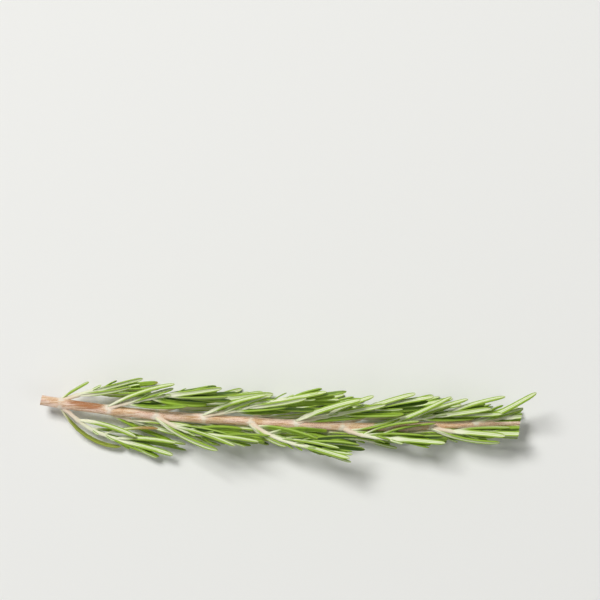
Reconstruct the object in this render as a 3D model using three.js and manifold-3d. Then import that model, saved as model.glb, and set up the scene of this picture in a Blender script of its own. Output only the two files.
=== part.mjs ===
// Rosemary sprig, cut at both ends and lying on its side. Millimetres, +Z up.
// +X runs from the cut woody base to the tip end, +Y is the sprig's left as seen from above.
// The origin is the middle of the footprint, on the surface that the sprig lies on.
//
// A woody stem carries opposite pairs of leaves, each pair turned a quarter turn from the last.
// In the axil of each leaf grows a side shoot: a pale stalk with its own pairs of leaves.
// The sprig is rolled by an eighth of a turn, so that at each node one side reaches up and
// the other lies underneath, with its leaves pressed flat by the surface.
import * as THREE from 'three';
import { mergeVertices } from 'three/addons/utils/BufferGeometryUtils.js';
import Module from 'manifold-3d';

const wasm = await Module();
wasm.setup();

// Driving dimensions.
const STEM_LENGTH = 168.5;
const STEM_OVERRUN = 2; // past each end, cut away
const STEM_SIDES = 10;
const STEM_RINGS = 26;
const STEM_RADIUS_BASE = 1.7;
const STEM_RADIUS_TIP = 1.25;
const NODE_SWELLING = 0.2; // extra stem radius at a node
const NODE_SWELLING_REACH = 2.2; // along the stem
const NODE_COUNT = 10;
const FIRST_NODE = 7; // from the cut base
const NODE_SPACING = 17.1; // near the base
const NODE_CLOSING = 0.095; // how much the spacing closes up towards the tip, per node squared
const STALK_RADIUS_BASE = 0.75;
const STALK_RADIUS_TIP = 0.5;
const STALK_SIDES = 4;
const STALK_RINGS = 4;
const LEAF_HALF_WIDTH = 0.95;
const STEM_LEAF_HALF_WIDTH = 1.1;
const LEAF_FLATNESS = 0.5; // thickness over width
const LEAF_SIDES = 4;
const LEAF_ROOTING = 0.04; // share of a leaf's length that is rooted in its stalk
const LEAF_FULL_FROM = 0.32; // a leaf keeps its full width between these shares of its length
const LEAF_FULL_TO = 0.82;
const LEAF_BEND_SHARE = 0.45; // of its length, where a leaf bends most
const SHOOT_LEAF_BOW = 0.28; // share of its spread that a side shoot's leaf arches outward
const STEM_LEAF_BASE = -0.5; // along from the node
const CROSSING_LEAF_BASE = 2.5; // the same, for a leaf that leans back over the stem
const STEM_LEAF_BASE_OUT = 1; // out from the stem's middle
const SHOOT_LEAF_LENGTH = 21.5;
const LEAF_PAIR_SPACING = 4.4; // along a side shoot
const GAP = 0.3; // kept between neighbouring pieces
const LEAF_SPACE = 2.3; // middle to middle, for leaves that lie beside each other
const SETTLE_STEPS = 14;
const SURFACE_CLEARANCE = 0.55; // of a leaf's middle above the surface it lies on
const SURFACE_SOFTNESS = 0.6; // how gradually a leaf bends to lie along the surface
const CUT_SLANT_BASE = 0.2; // radians, of the cut through the stem's base
const CUT_SLANT_TIP = -0.19;
const CUT_LEFT_TIP = -8; // where the stem's middle crosses the cut
const CUTTER_SIZE = 60;

// The stem's middle line: [along, left, height above the surface].
const STEM_BENDS = [
  [0, 0.4, 8.2],
  [15, -1.9, 8.6],
  [40, -4.8, 9],
  [65, -6.5, 9.2],
  [91, -8.1, 9.4],
  [115, -9, 9.4],
  [140, -8.5, 9],
  [168.5, -7.2, 8.4],
];

// Each side of each node. Distances are [along the stem from the node, out from the stem's middle].
// rise: height gained for each millimetre out, above or below the stem.
// leaf: the tip of the leaf that grows on the stem, with its lift above the side's own slope.
// bow: how far that leaf arches away from its stem, as a share of its spread; negative curls it away.
// run: points that the side shoot's stalk passes through.
// tips: where the side shoot's leaves end, each with its lift.
const SIDES = {
  '01_left': {
    rise: -0.1,
    leaf: [10, 8.9, 1],
    bow: 0.1,
    run: [[0.5, 1.2], [9, 5], [15, 7.2], [21, 8.4]],
    tips: [
      [25, 9, 1.5], [29, 12.4, 0], [28, 10.3, -1.5], [32, 8, 2], [35, 9.5, 0.5], [34, 11.5, -2],
      [31, 7, -3],
    ],
  },
  '01_right': {
    rise: -0.35,
    leaf: [21, 12.5, -0.5],
    bow: 0.75,
    run: [[0.5, 1.2], [8, 6.4], [13, 8.5], [23, 10.7]],
    tips: [
      [26.5, 8.4, 1.5], [39.5, 13.7, 1.2], [34.5, 14.7, -0.5], [44, 9.6, 0], [40.5, 9.2, 1.5],
      [41.5, 10.5, -1], [44, 11.9, -2], [33, 9.5, -2.5], [34.2, 4.8, 1.5],
    ],
  },
  '02_left': {
    rise: 0.95,
    leaf: [23.5, 11.7, 1.5],
    bow: 0.2,
    run: [[0.5, 1], [9, 4.1], [19, 7.1], [28, 8.9]],
    tips: [
      [23, 9.9, 0.5], [28, 4.2, 0.5], [34.5, 5.1, -0.5], [42, 8.3, 1.5], [45.5, 9.8, 0.5],
      [38, 11.6, 0], [40, 11.2, 2], [32, 8.5, -3], [38, 6.5, -3.5], [29, 6.5, -4], [43, 7, -2],
    ],
  },
  '02_right': {
    rise: -1.1,
    leaf: [22, 8.7, 3],
    bow: 0.15,
    run: [[1.5, 1.4], [9, 3.1], [17, 4.2], [24, 5.4]],
    tips: [
      [27, 7.3, 1], [33, 8, 2], [38, 6, 1], [41, 8, 0], [30, 3.5, 2], [36, 3.5, -1], [39, 9.5, -1],
    ],
  },
  '03_left': {
    rise: -1.15,
    leaf: [19, 8.8, 1.5],
    bow: 0.25,
    run: [[0.5, 1], [8, 3.8], [16, 6], [25, 7.6]],
    tips: [
      [20, 10.4, 0], [27, 5, 2.5], [30, 10.8, 1], [36, 7, 2], [41, 10, 0.5], [44, 8, 0],
      [33, 4.2, 0], [38, 5.6, -1],
    ],
  },
  '03_right': {
    rise: 0.9,
    leaf: [21.7, 10.5, 1],
    bow: 0.3,
    run: [[0.5, 1], [8.2, 4], [14, 5.4], [24, 6.6]],
    tips: [
      [26.2, 5.4, 0.5], [24.2, 8.3, 0], [27.7, 8.5, 1.5], [30.2, 2.9, 1], [36, 6.6, 1],
      [40, 4.4, 0.5], [33, 5.4, -3], [29, 7.5, -4], [38, 7, -2.5],
    ],
  },
  '04_left': {
    rise: 1,
    leaf: [22.1, 10, 1.5],
    bow: 0.2,
    run: [[0.5, 1], [9.6, 3.2], [19.6, 6.4], [30, 8.8]],
    tips: [
      [23.6, 9.4, 0], [29.6, 6.1, 0.5], [30.6, 4.8, -1], [39.6, 5.6, -0.5], [46, 10.6, 1],
      [50, 12.5, 0.5], [43, 12, 0], [48, 8.6, -1.5], [36, 9.5, 2], [34, 7, -3.5], [40, 8, -4],
      [28, 8, -4],
    ],
  },
  '04_right': {
    rise: -1.15,
    leaf: [20.6, 5.7, 2],
    bow: 0.2,
    run: [[0.8, 1.2], [9.6, 2.9], [18, 4.4], [25, 5.4]],
    tips: [
      [22.6, 6.7, 1.5], [22.8, 8, 0.5], [29, 3.6, 2], [34, 6, 1.5], [38, 7.5, 0], [41, 5.4, 1],
      [32, 7.6, 0], [36, 4, -1],
    ],
  },
  '05_left': {
    rise: -1.1,
    leaf: [20, 7.8, 1.5],
    bow: 0.25,
    run: [[0.5, 1], [8, 3.5], [17, 5.8], [25, 7]],
    tips: [
      [22, 10, 0.5], [25, 4.6, 2.5], [31, 9.4, 1], [35, 6.2, 2], [40, 9.4, 0.5], [43, 7.2, 0],
      [33, 11, -0.5], [37, 5, -1],
    ],
  },
  '05_right': {
    rise: 0.95,
    leaf: [12.6, 7.8, -0.5],
    bow: 0.3,
    run: [[0.5, 1], [7.2, 4.4], [17.9, 7.4], [24, 8.4]],
    tips: [
      [23.6, 4.8, 0.5], [26.9, 1.9, 1.5], [26.1, 10.1, -1], [34.6, 10.8, 1], [38.1, 6.1, 1.5],
      [37.6, 3.8, 0.5], [31, 7.4, 2.5], [34, 8.6, -2.5], [30, 5.6, -3.5], [40, 7.8, -1.5],
    ],
  },
  '06_left': {
    rise: 1,
    leaf: [22.2, 9.7, 1.5],
    bow: 0.2,
    run: [[0.5, 1], [7.9, 2.8], [17.9, 5.2], [26, 6.5]],
    tips: [
      [26.9, 11, 0.5], [24.9, 3.9, -1], [31, 8, 2], [37.4, 4.7, 0.5], [41.4, 11.6, 0],
      [45.9, 8.6, 1.5], [46.9, 6.6, 0], [47.9, 10.5, 0.5], [34, 5.6, -3], [40, 8.8, -3],
      [29, 6.6, -4],
    ],
  },
  '06_right': {
    rise: -1.2,
    leaf: [19, 5.6, 2],
    bow: 0.25,
    run: [[0.8, 1], [9, 2.8], [17, 3.9], [25, 4.8]],
    tips: [
      [21, 5.8, 1], [27, 3, 2], [30, 4.4, 1], [34, 3.8, 2], [39, 5.4, 0.5], [42, 4.2, 0.5],
      [36, 5.2, -0.5], [33, 2.2, -0.5],
    ],
  },
  '07_left': {
    rise: -1.1,
    leaf: [20, 7.4, 1.5],
    bow: 0.25,
    run: [[0.8, 1], [8, 3.4], [16, 5.4], [24, 6.6]],
    tips: [
      [21, 9.6, 0.5], [26, 4.4, 2.5], [30, 9, 1], [34, 5.8, 2], [39, 9, 0.5], [42, 6.8, 0],
      [32, 10.6, -0.5], [36, 4.6, -1],
    ],
  },
  '07_right': {
    rise: 0.8,
    leaf: [20.8, -3.1, 6.6],
    bow: -0.3,
    run: [[1.5, 1.4], [5, 2.4], [11, 3.5], [20, 4.6]],
    tips: [
      [17, 4.8, -1], [26.8, -1.7, 6], [32.8, -0.8, 5], [28.8, 3.3, 1.5], [35.8, 6, 0.5],
      [35.3, 4, 1], [31, 6.4, -2], [25, 5.4, -3.5], [37, 5, -2.5],
    ],
  },
  '08_left': {
    rise: 0.95,
    leaf: [22, 10.1, 1.5],
    bow: -0.15,
    run: [[1, 1], [9, 2.5], [18, 3.6], [25, 3.8]],
    tips: [
      [28, 8.9, 0], [22, 6.4, -1], [30.5, 2.2, 1], [36, 5.2, 1.5], [41, 9.2, 0], [40, 3.2, 0.5],
      [34, 6, -2.5], [37, 4.4, -3], [27, 4.4, -4],
    ],
  },
  '08_right': {
    rise: -1.2,
    leaf: [19, 5, 2],
    bow: 0.25,
    run: [[0.8, 1], [9, 2.6], [16, 3.5], [24, 4.2]],
    tips: [
      [21, 6, 1], [26, 2.8, 2], [30, 5.4, 1], [34, 3.6, 2], [38, 5.2, 0.5], [41, 3.8, 0.5],
      [33, 6.2, -0.5], [36, 2.2, -0.5],
    ],
  },
  '09_left': {
    rise: -1.1,
    leaf: [19, 6.6, 1.5],
    bow: 0.25,
    run: [[0.8, 1], [8, 2.4], [15, 3.2], [21, 3.6]],
    tips: [[21, 6.4, 0.5], [26, 4, 2.5], [29, 4.8, 1], [24, 3, 0.5], [34, 2.6, -0.5]],
  },
  '09_right': {
    rise: 0.85,
    leaf: [23.6, 6.9, 0],
    bow: 0.45,
    run: [[0.8, 1], [8.3, 2.5], [17.3, 3.3], [26, 4]],
    tips: [
      [25.3, 4.6, 1.5], [19, 4.8, -2], [27, 1.9, 1.5], [36, 4.4, 0.5], [38, 2.4, 1],
      [32, 5.2, -1.5], [30, 3.4, -3],
    ],
  },
  '10_left': {
    rise: 0.8,
    leaf: [20.5, 10.2, 2],
    bow: -0.25,
    run: [[2, 1], [8, 1.6], [15, 2.1], [22, 2.6]],
    tips: [[16.5, 4.5, 1], [14.5, 3.2, -1], [26, 1.4, 1], [29, 3, 1], [25, 3, -2.5]],
  },
  '10_right': {
    rise: -1.1,
    leaf: [18, 4.4, 2],
    bow: 0.25,
    run: [[0.8, 1], [8, 2.4], [15, 3.4], [22, 4]],
    tips: [[20, 4.6, 1], [25, 2.2, 2], [29, 4.4, 1], [32, 3.4, 0]],
  },
};

const barkBrown = new THREE.MeshStandardMaterial({ color: 0xd2b090, roughness: 0.85, metalness: 0 });
const shootGreen = new THREE.MeshStandardMaterial({ color: 0x96ad55, roughness: 0.55, metalness: 0 });
const leafGreen = new THREE.MeshStandardMaterial({ color: 0x8aa548, roughness: 0.5, metalness: 0 });

// A smooth line through [position, value] points, read at one position; column picks the value.
function smoothLine(points, position, column = 1) {
  const last = points.length - 1;
  const slope = (i) => {
    const before = points[Math.max(i - 1, 0)];
    const after = points[Math.min(i + 1, last)];
    return (after[column] - before[column]) / (after[0] - before[0]);
  };
  let i = 0;
  while (i < last - 1 && position > points[i + 1][0]) i += 1;
  const width = points[i + 1][0] - points[i][0];
  const t = (position - points[i][0]) / width;
  const ease = t * t * (3 - 2 * t);
  const leaving = slope(i) * t * (1 - t) * (1 - t);
  const arriving = slope(i + 1) * t * t * (t - 1);
  return points[i][column] * (1 - ease) + points[i + 1][column] * ease + width * (leaving + arriving);
}

function nodeAlong(number) {
  const steps = number - 1;
  return FIRST_NODE + NODE_SPACING * steps - NODE_CLOSING * steps * steps;
}

// Heights below the surface are bent smoothly to lie along it.
function restOnSurface(height) {
  const over = (height - SURFACE_CLEARANCE) / SURFACE_SOFTNESS;
  return SURFACE_CLEARANCE + SURFACE_SOFTNESS * Math.log1p(Math.exp(over));
}

// A side of a node: turns [along, out] and a lift into a point in space.
class Side {
  constructor(name) {
    Object.assign(this, SIDES[name]);
    this.name = name;
    this.start = nodeAlong(parseInt(name, 10));
    this.sign = name.endsWith('left') ? 1 : -1;
  }

  place(along, out, lift) {
    const x = this.start + along;
    const y = smoothLine(STEM_BENDS, x) + this.sign * out;
    const z = smoothLine(STEM_BENDS, x, 2) + this.rise * out + lift;
    return new THREE.Vector3(x, y, restOnSurface(z));
  }

  stalkPoint(along) {
    return this.place(along, smoothLine(this.run, along), 0);
  }

  // The pair of leaves on the stalk that lies one leaf's length behind a tip.
  pairBehind(tip) {
    const [first, last] = [this.run[0][0], this.run.at(-1)[0]];
    const end = this.place(...tip);
    let best = first + 1;
    let bestMiss = Infinity;
    for (let along = first + 1; along <= last; along += LEAF_PAIR_SPACING) {
      const miss = Math.abs(this.stalkPoint(along).distanceTo(end) - SHOOT_LEAF_LENGTH);
      if (miss < bestMiss) {
        best = along;
        bestMiss = miss;
      }
    }
    return best;
  }
}

class StemCurve extends THREE.Curve {
  getPoint(t) {
    const x = -STEM_OVERRUN + t * (STEM_LENGTH + 2 * STEM_OVERRUN);
    return new THREE.Vector3(x, smoothLine(STEM_BENDS, x), smoothLine(STEM_BENDS, x, 2));
  }
}

class StalkCurve extends THREE.Curve {
  constructor(side) {
    super();
    this.side = side;
  }

  getPoint(t) {
    const [first, last] = [this.side.run[0][0], this.side.run.at(-1)[0]];
    return this.side.stalkPoint(first + t * (last - first));
  }
}

// One leaf: its base, the direction of the stem or stalk that bears it, its tip and its shape.
function makeLeaf(side, base, bearing, tip, halfWidth, bow) {
  return { side, base, bearing, tip, lift: tip[2], halfWidth, bow };
}

function bendLeaf(leaf) {
  const end = leaf.side.place(leaf.tip[0], leaf.tip[1], leaf.lift);
  const chord = end.clone().sub(leaf.base);
  const spread = chord.clone().addScaledVector(leaf.bearing, -chord.dot(leaf.bearing));
  const middle = leaf.base.clone().addScaledVector(chord, LEAF_BEND_SHARE).addScaledVector(spread, leaf.bow);
  leaf.curve = new THREE.QuadraticBezierCurve3(leaf.base, middle, end);
  leaf.outward = spread.normalize();
  leaf.samples = [0.4, 0.55, 0.7, 0.85, 1].map((t) => leaf.curve.getPoint(t));
}

// Leaves that lie too close are moved apart, the higher one up and the lower one down.
function settle(leaves) {
  for (let step = 0; step < SETTLE_STEPS; step += 1) {
    leaves.forEach(bendLeaf);
    const moves = leaves.map(() => 0);
    leaves.forEach((one, i) => {
      for (let j = i + 1; j < leaves.length; j += 1) {
        const other = leaves[j];
        if (Math.abs(one.samples[2].x - other.samples[2].x) > SHOOT_LEAF_LENGTH) continue;
        let nearest = LEAF_SPACE;
        let above = 0;
        one.samples.forEach((p) => other.samples.forEach((q) => {
          const distance = p.distanceTo(q);
          if (distance < nearest) {
            nearest = distance;
            above = p.z - q.z;
          }
        }));
        const push = 0.5 * (LEAF_SPACE - nearest) * (above >= 0 ? 1 : -1);
        moves[i] += push;
        moves[j] -= push;
      }
    });
    leaves.forEach((leaf, i) => {
      leaf.lift += moves[i];
    });
  }
  leaves.forEach(bendLeaf);
}

function solidOf(geometry) {
  geometry.deleteAttribute('normal');
  geometry.deleteAttribute('uv');
  const merged = mergeVertices(geometry);
  return new wasm.Manifold(new wasm.Mesh({
    numProp: 3,
    vertProperties: merged.attributes.position.array,
    triVerts: new Uint32Array(merged.index.array),
  }));
}

function geometryOf(solid) {
  const mesh = solid.getMesh();
  const geometry = new THREE.BufferGeometry();
  geometry.setAttribute('position', new THREE.BufferAttribute(mesh.vertProperties, 3));
  geometry.setIndex(new THREE.BufferAttribute(mesh.triVerts, 1));
  geometry.computeVertexNormals();
  return geometry;
}

// A turned shape bent along a curve. The profile is [radius, share of the length] from end to end.
function bentSolid(profile, sides, flatness, curve, outward) {
  const points = profile.map(([radius, share]) => new THREE.Vector2(radius, share));
  const geometry = new THREE.LatheGeometry(points, sides, Math.PI / sides);
  const position = geometry.attributes.position;
  const corner = new THREE.Vector3();
  for (let i = 0; i < position.count; i += 1) {
    corner.fromBufferAttribute(position, i);
    const along = curve.getTangent(corner.y);
    const across = along.clone().cross(outward).normalize();
    const away = across.clone().cross(along);
    const point = curve.getPoint(corner.y);
    point.addScaledVector(across, corner.x).addScaledVector(away, corner.z * flatness);
    position.setXYZ(i, point.x, point.y, point.z);
  }
  return solidOf(geometry);
}

function stemSolid(extra) {
  const curve = new StemCurve();
  const profile = [[0, 0]];
  for (let i = 0; i <= STEM_RINGS; i += 1) {
    const share = i / STEM_RINGS;
    const x = curve.getPoint(share).x;
    let radius = THREE.MathUtils.lerp(STEM_RADIUS_BASE, STEM_RADIUS_TIP, share) + extra;
    for (let number = 1; number <= NODE_COUNT; number += 1) {
      const off = (x - nodeAlong(number)) / NODE_SWELLING_REACH;
      radius += NODE_SWELLING * Math.exp(-off * off);
    }
    profile.push([radius, share]);
  }
  profile.push([0, 1]);
  return bentSolid(profile, STEM_SIDES, 1, curve, new THREE.Vector3(0, 0, 1));
}

function stalkSolid(side, extra) {
  const profile = [[0, 0]];
  for (let i = 0; i <= STALK_RINGS; i += 1) {
    const share = i / STALK_RINGS;
    profile.push([THREE.MathUtils.lerp(STALK_RADIUS_BASE, STALK_RADIUS_TIP, share) + extra, share]);
  }
  profile.push([0, 1]);
  return bentSolid(profile, STALK_SIDES, 1, new StalkCurve(side), new THREE.Vector3(0, 0, 1));
}

function leafSolid(leaf, extra) {
  const wide = (leaf.halfWidth + extra) * Math.SQRT2;
  const thick = (leaf.halfWidth * LEAF_FLATNESS + extra) * Math.SQRT2;
  const profile = [[0, -LEAF_ROOTING], [wide, LEAF_FULL_FROM], [wide, LEAF_FULL_TO], [0, 1]];
  return bentSolid(profile, LEAF_SIDES, thick / wide, leaf.curve, leaf.outward);
}

function cutter(x, y, slant) {
  const box = new THREE.BoxGeometry(CUTTER_SIZE, 2 * CUTTER_SIZE, 2 * CUTTER_SIZE);
  const beyond = x > STEM_LENGTH / 2 ? CUTTER_SIZE / 2 : -CUTTER_SIZE / 2;
  box.translate(beyond, 0, 0);
  box.rotateZ(slant);
  box.translate(x, y, 0);
  return solidOf(box);
}

function largestBody(solid) {
  return solid.decompose().reduce((a, b) => (a.volume() > b.volume() ? a : b));
}

const sides = Object.keys(SIDES).map((name) => new Side(name));
const stemLeaves = [];
const shootLeaves = new Map();
const stemCurve = new StemCurve();
for (const side of sides) {
  const bearing = stemCurve.getTangent((side.start + STEM_OVERRUN) / (STEM_LENGTH + 2 * STEM_OVERRUN));
  const crossing = side.leaf[1] < 0;
  const base = side.place(crossing ? CROSSING_LEAF_BASE : STEM_LEAF_BASE, STEM_LEAF_BASE_OUT, 0);
  stemLeaves.push(makeLeaf(side, base, bearing, side.leaf, STEM_LEAF_HALF_WIDTH, side.bow));
  const stalk = new StalkCurve(side);
  shootLeaves.set(side, side.tips.map((tip) => {
    const along = side.pairBehind(tip);
    const share = (along - side.run[0][0]) / (side.run.at(-1)[0] - side.run[0][0]);
    const stalkBearing = stalk.getTangent(share);
    return makeLeaf(side, side.stalkPoint(along), stalkBearing, tip, LEAF_HALF_WIDTH, SHOOT_LEAF_BOW);
  }));
}
settle([...stemLeaves, ...[...shootLeaves.values()].flat()]);

const baseCut = cutter(0, 0, -CUT_SLANT_BASE);
const tipCut = cutter(STEM_LENGTH, CUT_LEFT_TIP, CUT_SLANT_TIP);
const placed = []; // each finished piece, and the room that a piece cut by it leaves round it

function addPiece(name, make, material, crossesTipCut = false) {
  let solid = make(0);
  if (!crossesTipCut) solid = solid.subtract(tipCut);
  for (const neighbour of placed) {
    if (solid.intersect(neighbour.solid).isEmpty()) continue;
    solid = largestBody(solid.subtract(neighbour.room));
  }
  placed.push({ solid, room: make(GAP) });
  const mesh = new THREE.Mesh(geometryOf(solid), material);
  mesh.name = name;
  sprig.add(mesh);
}

const sprig = new THREE.Group();
addPiece('main_stem', (extra) => stemSolid(extra).subtract(baseCut), barkBrown);
for (const side of sides) {
  addPiece(`side_shoot_${side.name}`, (extra) => {
    const leaves = shootLeaves.get(side);
    return leaves.reduce((joined, leaf) => joined.add(leafSolid(leaf, extra)), stalkSolid(side, extra));
  }, shootGreen);
}
for (const leaf of stemLeaves) {
  const reachesPastCut = leaf.side.name === '10_left';
  addPiece(`stem_leaf_${leaf.side.name}`, (extra) => leafSolid(leaf, extra), leafGreen, reachesPastCut);
}

// The footprint's middle becomes the origin, and the lowest leaf touches the surface.
const room = new THREE.Box3().setFromObject(sprig);
const middle = room.getCenter(new THREE.Vector3());
sprig.children.forEach((mesh) => mesh.position.set(-middle.x, -middle.y, -room.min.z));

export default sprig;
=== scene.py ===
import math
import random

import bmesh
import bpy
import numpy as np
from mathutils import Matrix, Vector, noise


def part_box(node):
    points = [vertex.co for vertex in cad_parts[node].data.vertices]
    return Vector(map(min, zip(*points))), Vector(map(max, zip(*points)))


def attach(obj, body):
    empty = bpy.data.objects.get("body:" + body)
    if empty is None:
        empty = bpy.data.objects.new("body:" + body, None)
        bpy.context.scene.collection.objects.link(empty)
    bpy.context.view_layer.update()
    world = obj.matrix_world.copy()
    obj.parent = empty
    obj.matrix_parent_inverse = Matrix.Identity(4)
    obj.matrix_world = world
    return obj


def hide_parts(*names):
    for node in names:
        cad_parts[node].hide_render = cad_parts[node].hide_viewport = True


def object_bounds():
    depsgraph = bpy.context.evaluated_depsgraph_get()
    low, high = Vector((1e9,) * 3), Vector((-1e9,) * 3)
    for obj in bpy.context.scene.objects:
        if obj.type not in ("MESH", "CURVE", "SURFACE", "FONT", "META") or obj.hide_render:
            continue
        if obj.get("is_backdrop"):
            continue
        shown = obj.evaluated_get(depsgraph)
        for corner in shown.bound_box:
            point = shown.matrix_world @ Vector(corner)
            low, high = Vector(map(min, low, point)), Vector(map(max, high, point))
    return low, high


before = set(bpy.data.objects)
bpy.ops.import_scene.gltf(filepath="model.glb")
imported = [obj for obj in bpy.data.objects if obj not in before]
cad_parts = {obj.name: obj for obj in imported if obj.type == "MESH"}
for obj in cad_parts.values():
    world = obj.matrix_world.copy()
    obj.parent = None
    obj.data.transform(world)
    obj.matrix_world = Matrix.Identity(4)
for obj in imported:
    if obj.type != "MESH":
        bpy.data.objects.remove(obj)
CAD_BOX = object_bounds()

bl_info = {
    "name": "Rosemary Sprig",
    "version": (1, 0, 0),
    "blender": (4, 5, 0),
    "location": "View3D > Sidebar > Sprig",
    "description": "Builds a cut rosemary sprig, its side shoots and leaves, lying on a pale surface",
    "category": "Object",
}

# The sprig's plan is in millimetres: x along the stem from its cut base, y to its left as seen
# from above, z up from the surface it lies on. The CAD frame is the same, moved to its own origin.
MM = 0.001
SEED = 41
NODE_COUNT = 10
NODE_CLOSING = 0.095  # how much the spacing closes up towards the tip, per node squared
SURFACE_CLEARANCE = 0.55  # of a leaf's middle above the surface
SURFACE_SOFTNESS = 0.6  # how gradually a leaf bends to lie along the surface
LEAF_BEND_SHARE = 0.45  # of its length, where a leaf bends most
SHOOT_LEAF_BOW = 0.28  # share of its spread that a side shoot's leaf arches outward
STEM_LEAF_BASE = -0.5  # along from the node
CROSSING_LEAF_BASE = 2.5  # the same, for a leaf that leans back over the stem
SETTLE_STEPS = 14
SETTLE_SHARES = (0.4, 0.55, 0.7, 0.85, 1)  # of a leaf's length, where it is kept clear of the others
STEM_OVERRUN = 2  # past each end, cut away
CUT_SLANT_BASE = 0.2  # radians, of the cut through the stem's base
CUT_SLANT_TIP = -0.19
CUT_LEFT_TIP = -8  # where the stem's middle crosses the cut at the tip
UNCUT_LEAF = "10_left"  # runs on past the cut at the tip, whole

# Relief of the bark, as shares of the stem's radius: fibres, lumps and a slightly square section.
FIBRE_RELIEF, LUMP_RELIEF, SQUARE_RELIEF = 0.035, 0.05, 0.035
NODE_SWELLING_REACH = 2.2  # along the stem
NODE_RIDGE, NODE_RIDGE_REACH = 0.05, 0.7
# A darker orange-brown stretch of bark on one side of the stem: its middle and half length along the stem,
# and its place round it.
DARK_STRETCH_MIDDLE, DARK_STRETCH_REACH, DARK_STRETCH_ANGLE = 15.5, 7, 0.85

# Side shoots' stalks, in shares of their radius: relief of the skin, swelling at a pair of leaves, flare
# at the foot. In shares of their length: reach of a swelling, foot, and root hidden in the stem.
STALK_RELIEF, STALK_SWELLING, STALK_FOOT_FLARE = 0.06, 0.22, 0.25
STALK_NODE_REACH, STALK_FOOT_SHARE, STALK_ROOT_SHARE = 0.03, 0.1, 0.05
STALK_ROOT = -0.5  # where the root points to on the stem's middle line, along from the node
STALK_ROOTING = 0.8  # how far it is drawn in to there

# Down on the stem. Away from the nodes only this share of the hairs grows.
DOWN_SHARE = 0.3
DOWN_LENGTHS = (0.2, 0.42)
DOWN_NODE_REACH = 1.6

# Chance in a leaf: turned about its middle line, twisted along it, wider or narrower, and waved.
LEAF_ROLL, LEAF_TWIST, LEAF_WIDTHS, LEAF_WAVE = 0.28, 0.4, (0.88, 1.08), 0.25
# Young leaves in the axils and the crown of a side shoot: lengths, spread in radians, and tone.
AXIL_LEAVES = ((3.5, 7), 0.36, 0.75)
CROWN_LEAVES = ((7, 13), 0.16, 0.85)

# How finely the pieces are cut: sides round, rings along.
STEM_SIDES, STEM_RINGS = 30, 260
STALK_SIDES, STALK_RINGS = 12, 48
HAIR_SIDES = 3  # three only, as there are thousands
HAIR_RADIUS = 0.02

# The stem's middle line: (along, left, height).
STEM_BENDS = (
    (0, 0.4, 8.2),
    (15, -1.9, 8.6),
    (40, -4.8, 9),
    (65, -6.5, 9.2),
    (91, -8.1, 9.4),
    (115, -9, 9.4),
    (140, -8.5, 9),
    (168.5, -7.2, 8.4),
)

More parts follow.
